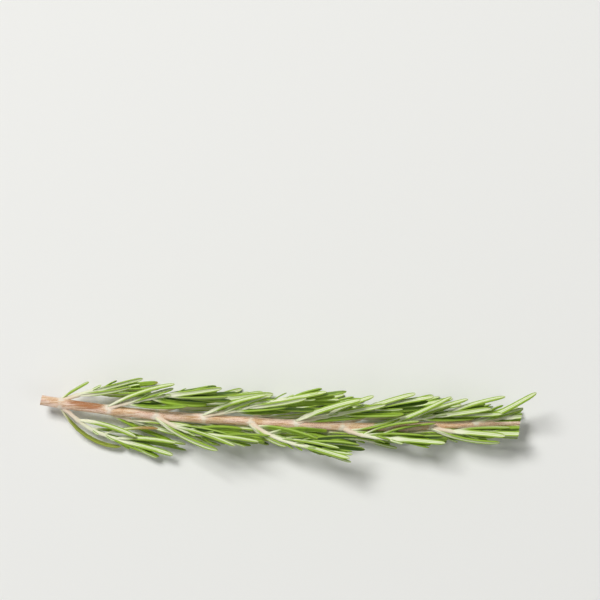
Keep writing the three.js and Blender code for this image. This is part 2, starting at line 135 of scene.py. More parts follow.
# Each side of each node, in millimetres along the stem from the node and out from the stem's middle.
# rise: height gained for each millimetre out. leaf: tip of the leaf on the stem, and its lift.
# bow: how far that leaf arches outward. run: the side shoot's stalk. tips: its leaves' tips and lifts.
SIDES = {
    "01_left": dict(
        rise=-0.1, leaf=(10, 8.9, 1), bow=0.1, run=((0.5, 1.2), (9, 5), (15, 7.2), (21, 8.4)),
        tips=((25, 9, 1.5), (29, 12.4, 0), (28, 10.3, -1.5), (32, 8, 2), (35, 9.5, 0.5), (34, 11.5, -2),
              (31, 7, -3)),
    ),
    "01_right": dict(
        rise=-0.35, leaf=(21, 12.5, -0.5), bow=0.75, run=((0.5, 1.2), (8, 6.4), (13, 8.5), (23, 10.7)),
        tips=((26.5, 8.4, 1.5), (39.5, 13.7, 1.2), (34.5, 14.7, -0.5), (44, 9.6, 0), (40.5, 9.2, 1.5),
              (41.5, 10.5, -1), (44, 11.9, -2), (33, 9.5, -2.5), (34.2, 4.8, 1.5)),
    ),
    "02_left": dict(
        rise=0.95, leaf=(23.5, 11.7, 1.5), bow=0.2, run=((0.5, 1), (9, 4.1), (19, 7.1), (28, 8.9)),
        tips=((23, 9.9, 0.5), (28, 4.2, 0.5), (34.5, 5.1, -0.5), (42, 8.3, 1.5), (45.5, 9.8, 0.5),
              (38, 11.6, 0), (40, 11.2, 2), (32, 8.5, -3), (38, 6.5, -3.5), (29, 6.5, -4), (43, 7, -2)),
    ),
    "02_right": dict(
        rise=-1.1, leaf=(22, 8.7, 3), bow=0.15, run=((1.5, 1.4), (9, 3.1), (17, 4.2), (24, 5.4)),
        tips=((27, 7.3, 1), (33, 8, 2), (38, 6, 1), (41, 8, 0), (30, 3.5, 2), (36, 3.5, -1), (39, 9.5, -1)),
    ),
    "03_left": dict(
        rise=-1.15, leaf=(19, 8.8, 1.5), bow=0.25, run=((0.5, 1), (8, 3.8), (16, 6), (25, 7.6)),
        tips=((20, 10.4, 0), (27, 5, 2.5), (30, 10.8, 1), (36, 7, 2), (41, 10, 0.5), (44, 8, 0),
              (33, 4.2, 0), (38, 5.6, -1)),
    ),
    "03_right": dict(
        rise=0.9, leaf=(21.7, 10.5, 1), bow=0.3, run=((0.5, 1), (8.2, 4), (14, 5.4), (24, 6.6)),
        tips=((26.2, 5.4, 0.5), (24.2, 8.3, 0), (27.7, 8.5, 1.5), (30.2, 2.9, 1), (36, 6.6, 1),
              (40, 4.4, 0.5), (33, 5.4, -3), (29, 7.5, -4), (38, 7, -2.5)),
    ),
    "04_left": dict(
        rise=1, leaf=(22.1, 10, 1.5), bow=0.2, run=((0.5, 1), (9.6, 3.2), (19.6, 6.4), (30, 8.8)),
        tips=((23.6, 9.4, 0), (29.6, 6.1, 0.5), (30.6, 4.8, -1), (39.6, 5.6, -0.5), (46, 10.6, 1),
              (50, 12.5, 0.5), (43, 12, 0), (48, 8.6, -1.5), (36, 9.5, 2), (34, 7, -3.5), (40, 8, -4),
              (28, 8, -4)),
    ),
    "04_right": dict(
        rise=-1.15, leaf=(20.6, 5.7, 2), bow=0.2, run=((0.8, 1.2), (9.6, 2.9), (18, 4.4), (25, 5.4)),
        tips=((22.6, 6.7, 1.5), (22.8, 8, 0.5), (29, 3.6, 2), (34, 6, 1.5), (38, 7.5, 0), (41, 5.4, 1),
              (32, 7.6, 0), (36, 4, -1)),
    ),
    "05_left": dict(
        rise=-1.1, leaf=(20, 7.8, 1.5), bow=0.25, run=((0.5, 1), (8, 3.5), (17, 5.8), (25, 7)),
        tips=((22, 10, 0.5), (25, 4.6, 2.5), (31, 9.4, 1), (35, 6.2, 2), (40, 9.4, 0.5), (43, 7.2, 0),
              (33, 11, -0.5), (37, 5, -1)),
    ),
    "05_right": dict(
        rise=0.95, leaf=(12.6, 7.8, -0.5), bow=0.3, run=((0.5, 1), (7.2, 4.4), (17.9, 7.4), (24, 8.4)),
        tips=((23.6, 4.8, 0.5), (26.9, 1.9, 1.5), (26.1, 10.1, -1), (34.6, 10.8, 1), (38.1, 6.1, 1.5),
              (37.6, 3.8, 0.5), (31, 7.4, 2.5), (34, 8.6, -2.5), (30, 5.6, -3.5), (40, 7.8, -1.5)),
    ),
    "06_left": dict(
        rise=1, leaf=(22.2, 9.7, 1.5), bow=0.2, run=((0.5, 1), (7.9, 2.8), (17.9, 5.2), (26, 6.5)),
        tips=((26.9, 11, 0.5), (24.9, 3.9, -1), (31, 8, 2), (37.4, 4.7, 0.5), (41.4, 11.6, 0),
              (45.9, 8.6, 1.5), (46.9, 6.6, 0), (47.9, 10.5, 0.5), (34, 5.6, -3), (40, 8.8, -3),
              (29, 6.6, -4)),
    ),
    "06_right": dict(
        rise=-1.2, leaf=(19, 5.6, 2), bow=0.25, run=((0.8, 1), (9, 2.8), (17, 3.9), (25, 4.8)),
        tips=((21, 5.8, 1), (27, 3, 2), (30, 4.4, 1), (34, 3.8, 2), (39, 5.4, 0.5), (42, 4.2, 0.5),
              (36, 5.2, -0.5), (33, 2.2, -0.5)),
    ),
    "07_left": dict(
        rise=-1.1, leaf=(20, 7.4, 1.5), bow=0.25, run=((0.8, 1), (8, 3.4), (16, 5.4), (24, 6.6)),
        tips=((21, 9.6, 0.5), (26, 4.4, 2.5), (30, 9, 1), (34, 5.8, 2), (39, 9, 0.5), (42, 6.8, 0),
              (32, 10.6, -0.5), (36, 4.6, -1)),
    ),
    "07_right": dict(
        rise=0.8, leaf=(20.8, -3.1, 6.6), bow=-0.3, run=((1.5, 1.4), (5, 2.4), (11, 3.5), (20, 4.6)),
        tips=((17, 4.8, -1), (26.8, -1.7, 6), (32.8, -0.8, 5), (28.8, 3.3, 1.5), (35.8, 6, 0.5),
              (35.3, 4, 1), (31, 6.4, -2), (25, 5.4, -3.5), (37, 5, -2.5)),
    ),
    "08_left": dict(
        rise=0.95, leaf=(22, 10.1, 1.5), bow=-0.15, run=((1, 1), (9, 2.5), (18, 3.6), (25, 3.8)),
        tips=((28, 8.9, 0), (22, 6.4, -1), (30.5, 2.2, 1), (36, 5.2, 1.5), (41, 9.2, 0), (40, 3.2, 0.5),
              (34, 6, -2.5), (37, 4.4, -3), (27, 4.4, -4)),
    ),
    "08_right": dict(
        rise=-1.2, leaf=(19, 5, 2), bow=0.25, run=((0.8, 1), (9, 2.6), (16, 3.5), (24, 4.2)),
        tips=((21, 6, 1), (26, 2.8, 2), (30, 5.4, 1), (34, 3.6, 2), (38, 5.2, 0.5), (41, 3.8, 0.5),
              (33, 6.2, -0.5), (36, 2.2, -0.5)),
    ),
    "09_left": dict(
        rise=-1.1, leaf=(19, 6.6, 1.5), bow=0.25, run=((0.8, 1), (8, 2.4), (15, 3.2), (21, 3.6)),
        tips=((21, 6.4, 0.5), (26, 4, 2.5), (29, 4.8, 1), (24, 3, 0.5), (34, 2.6, -0.5)),
    ),
    "09_right": dict(
        rise=0.85, leaf=(23.6, 6.9, 0), bow=0.45, run=((0.8, 1), (8.3, 2.5), (17.3, 3.3), (26, 4)),
        tips=((25.3, 4.6, 1.5), (19, 4.8, -2), (27, 1.9, 1.5), (36, 4.4, 0.5), (38, 2.4, 1),
              (32, 5.2, -1.5), (30, 3.4, -3)),
    ),
    "10_left": dict(
        rise=0.8, leaf=(20.5, 10.2, 2), bow=-0.25, run=((2, 1), (8, 1.6), (15, 2.1), (22, 2.6)),
        tips=((16.5, 4.5, 1), (14.5, 3.2, -1), (26, 1.4, 1), (29, 3, 1), (25, 3, -2.5)),
    ),
    "10_right": dict(
        rise=-1.1, leaf=(18, 4.4, 2), bow=0.25, run=((0.8, 1), (8, 2.4), (15, 3.4), (22, 4)),
        tips=((20, 4.6, 1), (25, 2.2, 2), (29, 4.4, 1), (32, 3.4, 0)),
    ),
}


def hex_colour(text):
    """An sRGB hex colour as linear red, green, blue and alpha."""
    parts = [int(text[i:i + 2], 16) / 255 for i in (1, 3, 5)]
    return tuple(p / 12.92 if p <= 0.04045 else ((p + 0.055) / 1.055) ** 2.4 for p in parts) + (1.0,)


def length(name, description, millimetres):
    return bpy.props.FloatProperty(
        name=name, description=description, default=millimetres * MM, min=0, unit="LENGTH", precision=5)


def colour(name, description, hex_text):
    return bpy.props.FloatVectorProperty(
        name=name, description=description, default=hex_colour(hex_text), size=4, min=0, max=1,
        subtype="COLOR")


class SprigSizes(bpy.types.PropertyGroup):
    stem_length: length("Stem length", "From cut to cut", 168.5)
    stem_radius_base: length("Stem radius at base", "Woody end", 1.7)
    stem_radius_tip: length("Stem radius at tip", "Young end", 1.25)
    node_swelling: length("Node swelling", "Extra stem radius where leaves grow", 0.17)
    first_node: length("First node", "From the cut base", 7)
    node_spacing: length("Node spacing", "Between the first nodes", 17.1)
    stalk_radius_base: length("Stalk radius at base", "Side shoot's stalk at the stem", 0.75)
    stalk_radius_tip: length("Stalk radius at tip", "Side shoot's stalk at its end", 0.5)
    leaf_half_width: length("Leaf half width", "Leaves of the side shoots", 0.98)
    stem_leaf_half_width: length("Stem leaf half width", "Leaves that grow on the stem", 1.07)
    shoot_leaf_length: length("Leaf length", "Leaves of the side shoots", 21.5)
    leaf_pair_spacing: length("Leaf pair spacing", "Along a side shoot", 4.4)
    leaf_space: length("Leaf space", "Kept between the middles of neighbouring leaves", 2.3)


class SprigColours(bpy.types.PropertyGroup):
    bark: colour("Bark", "Tan bark", "#E2BE95")
    bark_pink: colour("Young bark", "Pinkish patches", "#F3D3BE")
    bark_streak: colour("Bark streak", "Orange-brown fibres", "#AC7042")
    felt: colour("Felt", "Pale felt at the nodes and between fibres", "#F0E6D6")
    cut_wood: colour("Cut wood", "Wood at a cut end", "#E6CFA6")
    pith: colour("Pith", "Middle of a cut end", "#C7A679")
    stalk_base: colour("Stalk at base", "Pinkish stalk", "#E9D3BC")
    stalk_tip: colour("Stalk at tip", "Pale green stalk", "#ECEFCE")
    leaf_deep: colour("Leaf, deep", "Upper face of an older leaf", "#486812")
    leaf_bright: colour("Leaf, bright", "Upper face of a young leaf", "#96B638")
    # The rolled edge's own green round the felted underside, painted a lighter yellow-green as a highlight
    # on the upper face's shoulders.
    leaf_margin_highlight: colour("Leaf margin", "Rolled edge", "#9EBA48")
    leaf_under: colour("Leaf underside", "Felted underside", "#E3ECC2")
    leaf_rib: colour("Leaf midrib", "Rib on the underside", "#BBCB8B")
    leaf_foot: colour("Leaf foot", "Where the leaf joins its stalk", "#ECEED0")
    leaf_dry: colour("Dry tip", "Tip that has dried", "#A98A52")
    surface: colour("Surface", "What the sprig lies on", "#EDEDEA")


# ---------------------------------------------------------------- the sprig's plan

def smooth_line(points, position, column=1):
    """A smooth line through (position, value) points, read at one position."""
    last = len(points) - 1

    def slope(i):
        before, after = points[max(i - 1, 0)], points[min(i + 1, last)]
        return (after[column] - before[column]) / (after[0] - before[0])

    i = 0
    while i < last - 1 and position > points[i + 1][0]:
        i += 1
    width = points[i + 1][0] - points[i][0]
    t = (position - points[i][0]) / width
    ease = t * t * (3 - 2 * t)
    bends = slope(i) * t * (1 - t) * (1 - t) + slope(i + 1) * t * t * (t - 1)
    return points[i][column] * (1 - ease) + points[i + 1][column] * ease + width * bends


def stem_line(x):
    return Vector((x, smooth_line(STEM_BENDS, x), smooth_line(STEM_BENDS, x, 2)))


def node_along(sizes, number):
    steps = number - 1
    return sizes.first_node / MM + sizes.node_spacing / MM * steps - NODE_CLOSING * steps * steps


def rest_on_surface(height):
    """Heights below the surface are bent smoothly to lie along it."""
    return SURFACE_CLEARANCE + SURFACE_SOFTNESS * np.log1p(
        np.exp((height - SURFACE_CLEARANCE) / SURFACE_SOFTNESS))


def direction(line, t, step=0.001):
    low, high = max(t - step, 0), min(t + step, 1)
    return (line(high) - line(low)).normalized()


class Side:
    """One side of one node: turns a distance along, a distance out and a lift into a point."""

    def __init__(self, name, sizes):
        self.name = name
        self.rise, self.leaf, self.bow, self.run, self.tips = (
            SIDES[name][key] for key in ("rise", "leaf", "bow", "run", "tips"))
        self.start = node_along(sizes, int(name[:2]))
        self.sign = 1 if name.endswith("left") else -1

    def place(self, along, out, lift):
        middle = stem_line(self.start + along)
        height = rest_on_surface(middle.z + self.rise * out + lift)
        return Vector((middle.x, middle.y + self.sign * out, height))

    def stalk(self, t):
        first, last = self.run[0][0], self.run[-1][0]
        along = first + t * (last - first)
        return self.place(along, smooth_line(self.run, along), 0)

    def pair_places(self, spacing):
        """Where the pairs of leaves sit, as shares of the stalk."""
        reach = self.run[-1][0] - self.run[0][0]
        count = int((reach - 1) / spacing) + 1
        return [(1 + spacing * i) / reach for i in range(count)]


class Leaf:
    """A leaf's middle line and how it is turned, from its base to its tip."""

    def __init__(self, side, base, bearing, tip, half_width, bow, kind):
        self.side, self.base, self.bearing, self.tip = side, base, bearing, tip
        self.lift, self.half_width, self.bow, self.kind = tip[2], half_width, bow, kind
        self.bend()

    def bend(self, end=None):
        self.end = end or self.side.place(self.tip[0], self.tip[1], self.lift)
        chord = self.end - self.base
        spread = chord - self.bearing * chord.dot(self.bearing)
        self.middle = self.base + chord * LEAF_BEND_SHARE + spread * self.bow
        self.outward = spread.normalized()

    def line(self, t):
        return self.base * (1 - t) ** 2 + self.middle * (2 * t * (1 - t)) + self.end * t ** 2


def settle(leaves, space, reach):
    """Leaves that lie too close are moved apart, the higher one up and the lower one down."""
    for _ in range(SETTLE_STEPS):
        points = np.array([[leaf.line(t) for t in SETTLE_SHARES] for leaf in leaves])
        apart = np.linalg.norm(points[:, None, :, None] - points[None, :, None, :], axis=-1)
        flat = apart.reshape(len(leaves), len(leaves), -1)
        nearest, which = flat.min(-1), flat.argmin(-1)
        own, other = np.divmod(which, len(SETTLE_SHARES))
        rows = np.arange(len(leaves))
        above = points[rows[:, None], own, 2] - points[rows[None, :], other, 2]
        close = (nearest < space) & (rows[:, None] < rows[None, :])
        close &= np.abs(points[:, None, 2, 0] - points[None, :, 2, 0]) <= reach
        push = np.where(close, 0.5 * (space - nearest) * np.where(above >= 0, 1, -1), 0)
        moves = push.sum(1) - push.sum(0)
        for leaf, move in zip(leaves, moves):
            leaf.lift += move
            leaf.bend()


def plan_leaves(sizes):
    """Every full-grown leaf of the sprig, settled: those on the stem, then those of the side shoots."""
    stem_leaves, shoot_leaves = [], []
    for name in SIDES:
        side = Side(name, sizes)
        bearing = (stem_line(side.start + 0.2) - stem_line(side.start - 0.2)).normalized()
        base = side.place(CROSSING_LEAF_BASE if side.leaf[1] < 0 else STEM_LEAF_BASE, 1, 0)
        stem_leaves.append(
            Leaf(side, base, bearing, side.leaf, sizes.stem_leaf_half_width / MM, side.bow, "stem"))
        places = side.pair_places(sizes.leaf_pair_spacing / MM)
        for tip in side.tips:
            end = side.place(*tip)
            wanted = sizes.shoot_leaf_length / MM
            share = min(places, key=lambda t: abs((side.stalk(t) - end).length - wanted))
            bearing = direction(side.stalk, share)
            half_width = sizes.leaf_half_width / MM
            shoot_leaves.append(
                Leaf(side, side.stalk(share), bearing, tip, half_width, SHOOT_LEAF_BOW, "shoot"))
    settle(stem_leaves + shoot_leaves, sizes.leaf_space / MM, sizes.shoot_leaf_length / MM)
    return stem_leaves, shoot_leaves


def frame_shift(sizes):
    """How far the plan is moved to lie in the CAD frame, read from the stem's box there."""
    low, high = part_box("main_stem")
    reach = sizes.stem_length / MM
    line = [stem_line(reach * i / 60) for i in range(61)]
    radius = [stem_radius(sizes, point.x) for point in line]
    lowest = Vector((0, *(min(p[k] - r for p, r in zip(line, radius)) for k in (1, 2))))
    highest = Vector((reach, *(max(p[k] + r for p, r in zip(line, radius)) for k in (1, 2))))
    return (low + high) / (2 * MM) - (lowest + highest) / 2


def stem_radius(sizes, x):
    share = x / (sizes.stem_length / MM)
    return (sizes.stem_radius_base + (sizes.stem_radius_tip - sizes.stem_radius_base) * share) / MM


def node_nearness(sizes, x, reach):
    """1 at a node, falling to 0 within a few times the reach along the stem."""
    return max(math.exp(-((x - node_along(sizes, n)) / reach) ** 2) for n in range(1, NODE_COUNT + 1))


def leaf_base_nearness(sizes, x, angle):
    """1 where a leaf grows from the stem's side, falling to 0 round the stem."""
    number = min(range(1, NODE_COUNT + 1), key=lambda n: abs(x - node_along(sizes, n)))
    left = math.atan2(SIDES[f"{number:02d}_left"]["rise"], 1)
    right = math.pi - math.atan2(SIDES[f"{number:02d}_right"]["rise"], 1)
    return max(math.exp(-(math.remainder(angle - base, math.tau) / 1.1) ** 2) for base in (left, right))


# ---------------------------------------------------------------- mesh tools

def new_piece(bm, name, materials, nodes, shift):
    """Turns a bmesh in plan millimetres into a finished piece in the CAD frame."""
    if not bm.faces:
        raise RuntimeError(f"{name} has no faces")
    bmesh.ops.remove_doubles(bm, verts=bm.verts, dist=0.002)
    bmesh.ops.recalc_face_normals(bm, faces=bm.faces)
    bmesh.ops.translate(bm, verts=bm.verts, vec=shift)
    bmesh.ops.scale(bm, verts=bm.verts, vec=(MM, MM, MM))
    mesh = bpy.data.meshes.new(name)
    bm.to_mesh(mesh)
    bm.free()
    for material in materials:
        mesh.materials.append(material)
    piece = bpy.data.objects.new(name, mesh)
    bpy.context.scene.collection.objects.link(piece)
    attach(piece, "root")
    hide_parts(*nodes)


def straight_rod(bm, segments, rings):
    """A closed rod of radius 1 from z = 0 to z = 1, cut into rings."""
    bmesh.ops.create_cone(
        bm, cap_ends=True, cap_tris=False, segments=segments, radius1=1, radius2=1, depth=1)
    bmesh.ops.translate(bm, verts=bm.verts, vec=(0, 0, 0.5))
    long_edges = [edge for edge in bm.edges if abs(edge.verts[0].co.z - edge.verts[1].co.z) > 0.5]
    bmesh.ops.subdivide_edges(bm, edges=long_edges, cuts=rings - 1, use_grid_fill=False)


def cut_through(bm, point, normal, cap_material=None):
    """Cuts off what lies beyond a plane and closes the cut with a flat face."""
    made = bmesh.ops.bisect_plane(
        bm, geom=bm.verts[:] + bm.edges[:] + bm.faces[:], dist=0.0001, plane_co=point, plane_no=normal,
        clear_outer=True)
    rim = [part for part in made["geom_cut"] if isinstance(part, bmesh.types.BMEdge)]
    if not rim:
        return []
    filled = bmesh.ops.holes_fill(bm, edges=rim, sides=0)["faces"]
    for face in filled:
        face.smooth = False
        if cap_material is not None:
            face.material_index = cap_material
        for edge in face.edges:
            edge.smooth = False
    return filled


# Rings of a cut face: (share of the ring outside it, how far it is pushed out, how much it is pith).
STEM_CAP_RINGS = ((0.8, -0.03, 0.0), (0.5, 0.04, 0.3), (0.5, -0.08, 1.0))
STALK_CAP_RINGS = ((0.5, 0.02, 0.7),)


def ring_cap(bm, cap, layer, rings):
    """Draws a cut face in towards its middle, ring by ring, pushing each ring out and naming its pith."""
    for share, push, pith in rings:
        middle, normal = cap.calc_center_median(), cap.normal.copy()
        cap = bmesh.ops.extrude_discrete_faces(bm, faces=[cap])["faces"][0]
        bmesh.ops.scale(bm, vec=(share, share, share), space=Matrix.Translation(-middle), verts=cap.verts)
        bmesh.ops.translate(bm, vec=normal * push, verts=cap.verts)
        for vert in cap.verts:
            vert[layer] = pith


# ---------------------------------------------------------------- material tools

def add(tree, kind, inputs=None, **settings):
    """Adds a node with its settings, and links its inputs or sets their values."""
    made = tree.nodes.new(kind)
    for name, value in settings.items():
        setattr(made, name, value)
    for key, value in (inputs or {}).items():
        if isinstance(value, bpy.types.NodeSocket):
            tree.links.new(value, made.inputs[key])
        else:
            made.inputs[key].default_value = value
    return made


def new_material(name):
    """A material with only its shader and output."""
    material = bpy.data.materials.new(name)
    material.use_nodes = True
    tree = material.node_tree
    tree.nodes.clear()
    shader = add(tree, "ShaderNodeBsdfPrincipled")
    add(tree, "ShaderNodeOutputMaterial", {"Surface": shader.outputs["BSDF"]})
    return material, tree, shader


def painted(tree, ground, paint, mask, bare, full, most=1.0):
    """Lays a colour over another, from where its mask is at bare to where it is at full strength."""
    cover = add(tree, "ShaderNodeMapRange",
                {"Value": mask, "From Min": bare, "From Max": full, "To Min": 0.0, "To Max": most},
                interpolation_type="SMOOTHSTEP")
    blend = add(tree, "ShaderNodeMix", {0: cover.outputs[0], 6: ground, 7: paint}, data_type="RGBA")
    return blend.outputs[2]


def grain(tree, long, wide, detail=3.0):
    """Uneven grain in object space, with its length along X and its width across it in millimetres."""
    place = add(tree, "ShaderNodeTexCoord").outputs["Object"]
    scale = (1 / (long * MM), 1 / (wide * MM), 1 / (wide * MM))
    mapped = add(tree, "ShaderNodeMapping", {"Vector": place, "Scale": scale}).outputs[0]
    made = add(tree, "ShaderNodeTexNoise", {"Vector": mapped, "Scale": 1.0, "Detail": detail})
    return made.outputs["Fac"]


def bark_material(colours):
    """Young rosemary bark: dull tan skin that splits into long fibres, with white felt at the nodes."""
    material, tree, shader = new_material("rosemary bark, grown")
    dark_stretch = add(tree, "ShaderNodeAttribute", attribute_name="dark_stretch").outputs["Fac"]
    felt = add(tree, "ShaderNodeAttribute", attribute_name="felt").outputs["Fac"]
    fibres = grain(tree, 4.5, 0.5)  # fibres half a millimetre wide and some 5 mm long
    patches = grain(tree, 9, 2.2, 1.0)
    grit = grain(tree, 0.25, 0.2, 2.0)
    speckle = add(tree, "ShaderNodeMath", {0: fibres, 1: grit}, operation="ADD").outputs[0]
    ragged = add(tree, "ShaderNodeMath", {0: dark_stretch, 1: fibres}, operation="ADD").outputs[0]
    wisps = add(tree, "ShaderNodeMath", {0: felt, 1: fibres}, operation="ADD").outputs[0]
    skin = painted(tree, colours.bark[:], colours.bark_pink[:], patches, 0.38, 0.62)
    streaked = painted(tree, skin, colours.bark_streak[:], speckle, 0.98, 1.2, 0.65)
    pale = painted(tree, streaked, colours.felt[:], speckle, 0.98, 0.78, 0.6)
    # The streak colour laid over one side of the stem near its base, making it darker there.
    darkened = painted(tree, pale, colours.bark_streak[:], ragged, 0.8, 1.45, 0.9)
    felted = painted(tree, darkened, colours.felt[:], wisps, 0.72, 1.15, 0.9)
    tree.links.new(felted, shader.inputs["Base Color"])
    shader.inputs["Roughness"].default_value = 0.82
    shader.inputs["IOR"].default_value = 1.45
    bump = add(tree, "ShaderNodeBump", {"Height": speckle, "Strength": 0.5, "Distance": 0.00025})
    tree.links.new(bump.outputs[0], shader.inputs["Normal"])
    return material


def cut_wood_material(colours):
    """Fresh wood cut across with a blade: matte, pale, with a darker pith in the middle."""
    material, tree, shader = new_material("fresh wood, cut across")
    core = add(tree, "ShaderNodeAttribute", attribute_name="pith").outputs["Fac"]
    pores = grain(tree, 0.2, 0.15, 2.0)
    face = painted(tree, colours.cut_wood[:], colours.pith[:], core, 0.2, 0.8)
    speckled = painted(tree, face, colours.pith[:], pores, 0.5, 0.75, 0.5)
    tree.links.new(speckled, shader.inputs["Base Color"])
    shader.inputs["Roughness"].default_value = 0.8
    shader.inputs["IOR"].default_value = 1.45
    return material


def stalk_material(colours):
    """Young side shoot: soft, finely felted skin, pinkish where it is older and pale green at its tip."""
    material, tree, shader = new_material("young rosemary stalk, felted")
    along = add(tree, "ShaderNodeAttribute", attribute_name="along").outputs["Fac"]
    down = grain(tree, 1.2, 0.25)
    aged = painted(tree, colours.stalk_base[:], colours.stalk_tip[:], along, 0.02, 0.45)
    pale = painted(tree, aged, colours.felt[:], down, 0.45, 0.7, 0.55)
    tree.links.new(pale, shader.inputs["Base Color"])
    shader.inputs["Roughness"].default_value = 0.7
    shader.inputs["IOR"].default_value = 1.45
    shader.inputs["Sheen Weight"].default_value = 0.2
    bump = add(tree, "ShaderNodeBump", {"Height": down, "Strength": 0.35, "Distance": 0.00015})
    tree.links.new(bump.outputs[0], shader.inputs["Normal"])
    return material


def leaf_material(colours):
    """Rosemary leaf: waxy green above with a groove painted darker as shade, white felt and a green rib
    below, green rolled edges painted lighter as a highlight on the upper shoulders.
    """
    material, tree, shader = new_material("rosemary leaf, waxy above and felted below")
    along, under, rim, spine, tone, dry = (
        add(tree, "ShaderNodeAttribute", attribute_name=name).outputs["Fac"] for name in LEAF_MARKS)
    mottle = grain(tree, 2.5, 0.6)
    pores = grain(tree, 0.35, 0.22, 2.0)  # coarser than real pores, so that they show
    shade = add(tree, "ShaderNodeMath", {0: tone, 1: mottle}, operation="ADD").outputs[0]
    green = painted(tree, colours.leaf_deep[:], colours.leaf_bright[:], shade, 0.55, 1.45)
    # Painted shade: the groove down the middle of the upper face is painted halfway to the deep green.
    groove_shaded = painted(tree, green, colours.leaf_deep[:], spine, 0.4, 1, 0.5)
    ribbed = painted(tree, colours.leaf_under[:], colours.leaf_rib[:], spine, 0.5, 1)
    faces = painted(tree, groove_shaded, ribbed, under, 0.35, 0.65)
    # Rolled edges: their own green round the felted underside, plus a painted highlight, lighter than the
    # face, where they form the upper face's shoulders.
    margin_highlight = painted(tree, colours.leaf_margin_highlight[:], colours.leaf_bright[:], shade, 0.6, 1.5)
    edged = painted(tree, faces, margin_highlight, rim, 0.35, 0.9)
    # The pale foot reaches further up the felted underside than up the waxy face.
    reach = add(tree, "ShaderNodeMath", {0: under, 1: -0.2, 2: along}, operation="MULTIPLY_ADD").outputs[0]
    footed = painted(tree, edged, colours.leaf_foot[:], reach, 0.24, 0.0)
    dried = add(tree, "ShaderNodeMix", {0: dry, 6: footed, 7: colours.leaf_dry[:]}, data_type="RGBA")
    tree.links.new(dried.outputs[2], shader.inputs["Base Color"])
    gloss = add(tree, "ShaderNodeMapRange",
                {"Value": under, "From Min": 0.3, "From Max": 0.7, "To Min": 0.4, "To Max": 0.78},
                interpolation_type="SMOOTHSTEP")
    tree.links.new(gloss.outputs[0], shader.inputs["Roughness"])
    shader.inputs["IOR"].default_value = 1.42
    bump = add(tree, "ShaderNodeBump", {"Height": pores, "Strength": 0.3, "Distance": 0.0001})
    tree.links.new(bump.outputs[0], shader.inputs["Normal"])
    return material


def surface_material(colours):
    """Plain pale table board: matte, even."""
    material, _, shader = new_material("pale board, matte")
    shader.inputs["Base Color"].default_value = colours.surface[:]
    shader.inputs["Roughness"].default_value = 0.9
    return material


MATERIALS = {}


def shared(make):
    """The material that a function makes, made once for all the pieces."""
    if make not in MATERIALS:
        MATERIALS[make] = make(bpy.context.scene.sprig_colours)
    return MATERIALS[make]


# ---------------------------------------------------------------- leaves

# A leaf's section, from the groove on its upper face round one edge to the rib below. Each point is
# (out from the middle, towards the underside), in half widths, then how much it is underside,
# rolled edge and middle line.
HALF_SECTION = (
    ((0.00, -0.24), 0.0, 0.0, 1.0),
    ((0.42, -0.46), 0.0, 0.0, 0.2),
    ((0.86, -0.30), 0.0, 0.6, 0.0),
    ((1.00, 0.06), 0.3, 1.0, 0.0),
    ((0.86, 0.38), 0.7, 1.0, 0.0),
    ((0.56, 0.36), 1.0, 0.9, 0.0),
    ((0.36, 0.08), 1.0, 0.1, 0.1),
    ((0.00, 0.22), 1.0, 0.0, 1.0),
)
# What its material reads at each point of a leaf: the share of its length, how much it is underside,
# rolled edge and middle line, the leaf's own shade, and how dry it is.
LEAF_MARKS = ("along", "under", "rim", "spine", "tone", "dry")
# Rings along a leaf: (share of its length, width there).
LEAF_RINGS = (
    (0.00, 0.42), (0.05, 0.46), (0.11, 0.62), (0.20, 0.86), (0.34, 0.98), (0.50, 1.00), (0.66, 0.98),
    (0.79, 0.96), (0.88, 0.90), (0.945, 0.75), (0.985, 0.46), (1.00, 0.14),
)
SECTION_POINTS = 2 * (len(HALF_SECTION) - 1)
LEAF_FOOT_SHARE = 0.16

DRY_TIP_CHANCE = 0.06  # how often a leaf has a dry tip that shows
DRY_TIP_SHARE = 0.07  # of the leaf's length

# Leaves that have yellowed or dried: (how much, from which share of the length, share of width left).
HEALTHY = (0, 0, 1)
WORN_STEM_LEAVES = {"01_right": (0.28, -0.3, 0.95)}
WORN_SHOOT_LEAVES = {("01_right", 8): (1.0, 0.45, 0.62)}


def section_point(index):
    """Point of the whole section, going round from the groove."""
    last = len(HALF_SECTION) - 1
    mirrored = index > last
    (out, down), under, rim, spine = HALF_SECTION[SECTION_POINTS - index if mirrored else index]
    return (-out if mirrored else out), down, under, rim, spine


def leaf_template():
    """A straight leaf of half width 1 and length 1, with the attributes that its material reads."""
    bm = bmesh.new()
    layers = {key: bm.verts.layers.float.new(key) for key in LEAF_MARKS}
    straight_rod(bm, SECTION_POINTS, len(LEAF_RINGS) - 1)
    for vert in bm.verts:
        # A rod's corners lie half a step off the X axis.
        turn = math.atan2(vert.co.y, vert.co.x) / math.tau * SECTION_POINTS - 0.5
        ring = round(vert.co.z * (len(LEAF_RINGS) - 1))
        share, width = LEAF_RINGS[ring]
        out, down, under, rim, spine = section_point(round(turn) % SECTION_POINTS)
        foot = max(0, 1 - share / LEAF_FOOT_SHARE)
        down = down * (1 + 0.8 * foot)  # the foot is narrow but as thick as the leaf
        vert.co = (out * width, down * width, share)
        for key, value in (("along", share), ("under", under), ("rim", rim), ("spine", spine)):
            vert[layers[key]] = value
    for face in bm.faces:
        face.smooth = True
    mesh = bpy.data.meshes.new("leaf template")
    bm.to_mesh(mesh)
    bm.free()
    return mesh


